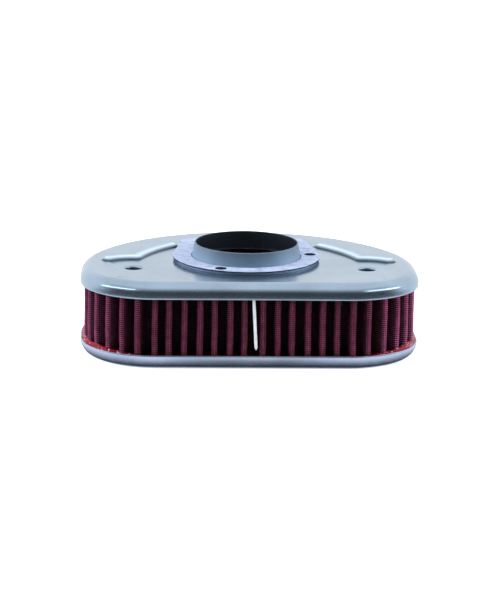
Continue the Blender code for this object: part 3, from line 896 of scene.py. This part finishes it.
def screen_tree():
    """Geometry tree: woven wires along a closed line, as level rows and upright columns."""
    tree = bpy.data.node_groups.new("wire_screen", "GeometryNodeTree")
    face = tree.interface
    face.new_socket("Geometry", in_out="INPUT", socket_type="NodeSocketGeometry")
    face.new_socket("Rows", in_out="INPUT", socket_type="NodeSocketInt")
    for name in ("Row Pitch", "Column Pitch", "Row Radius", "Column Radius", "Height"):
        face.new_socket(name, in_out="INPUT", socket_type="NodeSocketFloat")
    face.new_socket("Material", in_out="INPUT", socket_type="NodeSocketMaterial")
    face.new_socket("Geometry", in_out="OUTPUT", socket_type="NodeSocketGeometry")
    add = tree.nodes.new
    link = tree.links.new
    source = add("NodeGroupInput")
    section = add("GeometryNodeCurvePrimitiveCircle")
    section.inputs["Resolution"].default_value = 3
    link(source.outputs["Row Radius"], section.inputs["Radius"])
    slim = add("GeometryNodeCurvePrimitiveCircle")
    slim.inputs["Resolution"].default_value = 3
    link(source.outputs["Column Radius"], slim.inputs["Radius"])
    level_wire = add("GeometryNodeCurveToMesh")
    link(source.outputs["Geometry"], level_wire.inputs["Curve"])
    link(section.outputs["Curve"], level_wire.inputs["Profile Curve"])
    drop = add("ShaderNodeCombineXYZ")
    link(source.outputs["Row Pitch"], drop.inputs["Z"])
    rows = add("GeometryNodeMeshLine")
    link(source.outputs["Rows"], rows.inputs["Count"])
    link(drop.outputs["Vector"], rows.inputs["Offset"])
    stacked = add("GeometryNodeInstanceOnPoints")
    link(rows.outputs["Mesh"], stacked.inputs["Points"])
    link(level_wire.outputs["Mesh"], stacked.inputs["Instance"])
    spots = add("GeometryNodeCurveToPoints")
    spots.mode = "LENGTH"
    link(source.outputs["Geometry"], spots.inputs["Curve"])
    link(source.outputs["Column Pitch"], spots.inputs["Length"])
    top = add("ShaderNodeCombineXYZ")
    link(source.outputs["Height"], top.inputs["Z"])
    upright = add("GeometryNodeCurvePrimitiveLine")
    link(top.outputs["Vector"], upright.inputs["End"])
    parted = add("GeometryNodeResampleCurve")
    parted.inputs["Count"].default_value = 5
    link(upright.outputs["Curve"], parted.inputs["Curve"])
    column_wire = add("GeometryNodeCurveToMesh")
    column_wire.inputs["Fill Caps"].default_value = True
    link(parted.outputs["Curve"], column_wire.inputs["Curve"])
    link(slim.outputs["Curve"], column_wire.inputs["Profile Curve"])
    columns = add("GeometryNodeInstanceOnPoints")
    link(spots.outputs["Points"], columns.inputs["Points"])
    link(column_wire.outputs["Mesh"], columns.inputs["Instance"])
    both = add("GeometryNodeJoinGeometry")
    link(stacked.outputs["Instances"], both.inputs["Geometry"])
    link(columns.outputs["Instances"], both.inputs["Geometry"])
    solid = add("GeometryNodeRealizeInstances")
    link(both.outputs["Geometry"], solid.inputs["Geometry"])
    coat = add("GeometryNodeSetMaterial")
    link(solid.outputs["Geometry"], coat.inputs["Geometry"])
    link(source.outputs["Material"], coat.inputs["Material"])
    sink = add("NodeGroupOutput")
    link(coat.outputs["Geometry"], sink.inputs["Geometry"])
    return tree


def set_input(modifier, name, value):
    """Sets a named input of a geometry tree by its socket identifier."""
    for item in modifier.node_group.interface.items_tree:
        if item.item_type == "SOCKET" and item.in_out == "INPUT" and item.name == name:
            modifier[item.identifier] = value


def run_tree(name, source, tree, **values):
    """The plain mesh that a geometry tree makes from an object."""
    modifier = source.modifiers.new("shape", "NODES")
    modifier.node_group = tree
    for key, value in values.items():
        set_input(modifier, key.replace("_", " "), value)
    graph = bpy.context.evaluated_depsgraph_get()
    mesh = bpy.data.meshes.new_from_object(source.evaluated_get(graph))
    made = bpy.data.objects.new(name, mesh)
    bpy.context.scene.collection.objects.link(made)
    bpy.data.objects.remove(source, do_unlink=True)
    return made


def make_screen(name, solid, distance, tree, shade):
    """Woven wires along the folds, at a distance from their middle line."""
    line = offset_line(cleaned(pleat_line(5)), distance)
    curve = bpy.data.curves.new(name + "_line", "CURVE")
    curve.dimensions = "3D"
    spline = curve.splines.new("POLY")
    spline.points.add(len(line) - 1)
    for point, spot in zip(spline.points, line):
        point.co = (spot.x, spot.y, PACK_LOW, 1.0)
    spline.use_cyclic_u = True
    source = bpy.data.objects.new(name + "_line", curve)
    bpy.context.scene.collection.objects.link(source)
    screen = run_tree(
        name,
        source,
        tree,
        Rows=int((PACK_HIGH - PACK_LOW) / ROW_PITCH) + 1,
        Row_Pitch=ROW_PITCH,
        Column_Pitch=COLUMN_PITCH,
        Row_Radius=ROW_RADIUS,
        Column_Radius=COLUMN_RADIUS,
        Height=PACK_HIGH - PACK_LOW,
        Material=shade,
    )
    screen.data.shade_smooth()
    settle(screen)
    mark_painted_fold_light(screen, distance < 0.0)
    place(screen, solid, "screen_wire")


def make_clip(shade):
    """Rounded white strip over the seam of the pack."""
    front = -DEPTH / 2.0 + PLEAT_INSET
    rings = []
    for step in range(25):
        share = step / 24.0
        height = CLIP_TOP - CLIP_LENGTH * share
        middle = SEAM_X - 0.0003 + CLIP_LEAN * share
        taper = 1.0 if share < 0.95 else math.sqrt(max(1.0 - ((share - 0.95) / 0.05) ** 2, 0.02))
        ring = []
        for turn in range(20):
            angle = 2.0 * math.pi * turn / 20.0
            c, s = math.cos(angle), math.sin(angle)
            across = CLIP_HALF_WIDTH * taper * math.copysign(abs(c) ** 0.6, c)
            deep = CLIP_HALF_DEPTH * math.copysign(abs(s) ** 0.6, s)
            ring.append((middle + across, front + CLIP_HALF_DEPTH + deep, height))
        rings.append(ring)
    strip = loft("seam_strip", rings, shade, closed_section=False, smooth=60.0)
    place(strip, "seam_clip", "clip_white")


# ---------------------------------------------------------------- stage


def light_path_mix(tree, plain, seen):
    """Chooses the second shader for camera, mirror and see-through rays."""
    rays = node(tree, "ShaderNodeLightPath")
    first = node(tree, "ShaderNodeMath", {"operation": "MAXIMUM"})
    second = node(tree, "ShaderNodeMath", {"operation": "MAXIMUM"})
    tree.links.new(rays.outputs["Is Camera Ray"], first.inputs[0])
    tree.links.new(rays.outputs["Is Glossy Ray"], first.inputs[1])
    tree.links.new(first.outputs[0], second.inputs[0])
    tree.links.new(rays.outputs["Is Transmission Ray"], second.inputs[1])
    mix = node(tree, "ShaderNodeMixShader")
    tree.links.new(second.outputs[0], mix.inputs["Fac"])
    tree.links.new(plain.outputs[0], mix.inputs[1])
    tree.links.new(seen.outputs[0], mix.inputs[2])
    return mix


def make_world():
    world = bpy.data.worlds.new("studio")
    bpy.context.scene.world = world
    world.use_nodes = True
    tree = world.node_tree
    tree.nodes.clear()
    plain = node(tree, "ShaderNodeBackground", Color=(0.93, 0.96, 1.0, 1.0), Strength=0.45)
    seen = node(tree, "ShaderNodeBackground", Color=(1.0, 1.0, 1.0, 1.0), Strength=1.0)
    mix = light_path_mix(tree, plain, seen)
    sink = node(tree, "ShaderNodeOutputWorld")
    tree.links.new(mix.outputs[0], sink.inputs["Surface"])


def staged_mesh(name, vertices, faces, shade, attribute, values):
    """A mesh of the stage, with one number for each point that its shader reads."""
    mesh = bpy.data.meshes.new(name)
    mesh.from_pydata(vertices, [], faces)
    mesh.materials.append(shade)
    mark(mesh, attribute, values)
    made = bpy.data.objects.new(name, mesh)
    bpy.context.scene.collection.objects.link(made)
    made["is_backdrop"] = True
    return made


def make_floor():
    """Pale floor whose glow, for camera and mirror rays only, fades under the object as a painted shadow."""
    shade = bpy.data.materials.new("pale_floor")
    shade.use_nodes = True
    tree = shade.node_tree
    principled = tree.nodes["Principled BSDF"]
    principled.inputs["Base Color"].default_value = (0.86, 0.87, 0.88, 1.0)
    principled.inputs["Roughness"].default_value = 0.9
    read = node(tree, "ShaderNodeAttribute", {"attribute_name": "glow"})
    glow = node(tree, "ShaderNodeEmission", Color=(1.0, 1.0, 1.0, 1.0))
    tree.links.new(read.outputs["Fac"], glow.inputs["Strength"])
    both = node(tree, "ShaderNodeAddShader")
    tree.links.new(principled.outputs[0], both.inputs[0])
    tree.links.new(glow.outputs[0], both.inputs[1])
    mix = light_path_mix(tree, principled, both)
    tree.links.new(mix.outputs[0], tree.nodes["Material Output"].inputs["Surface"])
    border = outline(0.6)
    count = len(border)
    vertices = []
    values = []
    for reach, level in FLOOR_GLOW:
        vertices += ring_at(border, -reach, -0.0002)
        values += [level] * count
    faces = [list(range(count))]
    for row in range(len(FLOOR_GLOW) - 1):
        for column in range(count):
            ahead = (column + 1) % count
            low = row * count
            faces.append((low + column, low + ahead, low + count + ahead, low + count + column))
    staged_mesh("floor", vertices, faces, shade, "glow", values)


def ease(value, low, high):
    """Rises smoothly from 0 at low to 1 at high."""
    share = min(max((value - low) / (high - low), 0.0), 1.0)
    return share * share * (3.0 - 2.0 * share)


def make_reflection_card():
    """Card round the object, dark in front and on the table, seen only as a reflection in metal."""
    shade = bpy.data.materials.new("card")
    shade.use_nodes = True
    tree = shade.node_tree
    tree.nodes.clear()
    read = node(tree, "ShaderNodeAttribute", {"attribute_name": "tone"})
    glow = node(tree, "ShaderNodeEmission", Color=(1.0, 1.0, 1.0, 1.0))
    sink = node(tree, "ShaderNodeOutputMaterial")
    tree.links.new(read.outputs["Fac"], glow.inputs["Strength"])
    tree.links.new(glow.outputs[0], sink.inputs["Surface"])
    above_floor = 0.0008
    # The rows nearest the object stay dark as a painted contact shadow.
    rows = [(reach, above_floor, tone, side_tone, 12.0, 40.0) for reach, tone, side_tone in CARD_NEAR]
    rows += [(reach, above_floor, tone, 1.0, 60.0, 105.0) for reach, tone in CARD_FAR]
    for lift, tone in CARD_DOME:
        angle = math.radians(lift)
        out, up = CARD_DOME_RADIUS * math.cos(angle), CARD_DOME_RADIUS * math.sin(angle)
        rows.append((out, up, tone, 1.0, 60.0, 105.0))
    rim = sorted((math.atan2(p.x, -p.y), p.length) for p, _ in outline())
    turns = [turn for turn, _ in rim]
    reaches = [reach for _, reach in rim]
    vertices = []
    values = []
    faces = []
    columns = 73
    for row, (reach, height, tone, side_tone, near, far) in enumerate(rows):
        for column in range(columns):
            turn = -180.0 + 360.0 * column / (columns - 1.0)
            way = Vector((math.sin(math.radians(turn)), -math.cos(math.radians(turn))))
            edge = float(np.interp(math.radians(turn), turns, reaches)) if height == above_floor else 0.0
            vertices.append((way.x * (edge + reach), way.y * (edge + reach), height))
            share = ease(abs(turn), near, far)
            values.append(tone + (side_tone - tone) * share)
            if row and column:
                now = row * columns + column
                faces.append((now - columns - 1, now - columns, now, now - 1))
    card = staged_mesh("reflection_card", vertices, faces, shade, "tone", values)
    card.visible_camera = False
    card.visible_diffuse = False
    card.visible_transmission = False
    card.visible_shadow = False


def area_light(name, place_at, size, power, mirrored, along=(1.0, 0.0, 0.0)):
    """A rectangular light aimed at the middle of the object, its long side along a direction."""
    lamp = bpy.data.lights.new(name, "AREA")
    lamp.shape = "RECTANGLE"
    lamp.size, lamp.size_y = size
    lamp.energy = power
    lamp.color = (0.95, 0.98, 1.0)
    made = bpy.data.objects.new(name, lamp)
    bpy.context.scene.collection.objects.link(made)
    made.visible_glossy = mirrored
    spot = Vector(place_at)
    back = (spot - Vector((0.0, 0.0, 0.04))).normalized()
    long_side = Vector(along)
    long_side = (long_side - long_side.dot(back) * back).normalized()
    turn = Matrix((long_side, back.cross(long_side), back)).transposed().to_4x4()
    made.matrix_world = Matrix.Translation(spot) @ turn


def make_lights():
    """Soft light from above and the front, and a slanting strip on each side for the metal."""
    area_light("overhead", (0.0, 0.1, 1.3), (1.6, 1.2), 8.0, False)
    area_light("fill", (-0.3, -1.4, 1.0), (0.9, 0.6), 1.4, False)
    for word, side in (("left", -1.0), ("right", 1.0)):
        area_light(f"side_{word}", (side * 1.25, -0.12, 0.30), (0.35, 0.5), 15.0, False, (0.0, 1.0, 0.0))
        strip_way = (side * 0.53, 0.84, -0.27)
        area_light(f"strip_{word}", (side * 1.03, -0.49, 0.72), (1.25, 0.17), 2.3, True, strip_way)


def make_camera():
    """Long lens, slightly above and to the left of the front."""
    camera_data = bpy.data.cameras.new("camera")
    camera = bpy.data.objects.new("camera", camera_data)
    bpy.context.scene.collection.objects.link(camera)
    across = Vector((0.99893859, -0.04300552, 0.0164992))
    down = Vector((0.00563095, -0.24149498, -0.97038573))
    ahead = Vector((0.04571641, 0.96944866, -0.24099649))
    turn = Matrix((across, -down, -ahead)).transposed().to_4x4()
    spot = Vector((-0.08477472, -1.84025845, 0.48667056))
    camera.matrix_world = Matrix.Translation(spot) @ turn
    camera_data.sensor_width = 36.0
    camera_data.lens = 153.2832
    camera_data.clip_start = 0.05
    camera_data.clip_end = 50.0
    bpy.context.scene.camera = camera


def main():
    scene = bpy.context.scene
    scene.view_settings.view_transform = "Standard"
    zinc = plated_steel("plated_sheet", (0.33, 0.435, 0.555), (0.395, 0.515, 0.65), 0.19, 0.93)
    # Painted shade along the foot of each bead, and a painted highlight on its sides.
    shade_more(zinc, "crease", ((0.0, 1.0), (1.0, 0.10)))
    shade_more(zinc, "painted_flank_highlight", ((0.0, 1.0), (1.0, 2.1)))
    frame_zinc = plated_steel("plated_frame", (0.41, 0.50, 0.70), (0.53, 0.63, 0.84), 0.22, 0.90)
    make_top_plate(zinc)
    make_breather_collars(zinc)
    make_neck(neck_material())
    make_gasket(gasket_material())
    make_lower_frame(frame_zinc)
    make_resin(resin_material())
    make_cotton(cotton_material())
    outer_wire = wire_material("stained_wire", (0.24, 0.028, 0.085), (0.50, 0.080, 0.210))
    # Painted light: the inner wires get a brighter colour than the outer ones.
    inner_wire = wire_material("painted_light_inner_wire", (0.60, 0.050, 0.100), (0.90, 0.120, 0.200))
    tree = screen_tree()
    near = COTTON / 2.0 + LAYER_GAP + SCREEN / 2.0
    make_screen("outer_wires", "outer_screen", near, tree, outer_wire)
    make_screen("inner_wires", "inner_screen", -near, tree, inner_wire)
    make_clip(clip_material())
    make_world()
    make_floor()
    make_reflection_card()
    make_lights()
    make_camera()


main()
sizes = {"cad": cad_box, "visual": [list(corner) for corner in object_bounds()]}
{name: [[float(v) for v in corner] for corner in box] for name, box in sizes.items()}
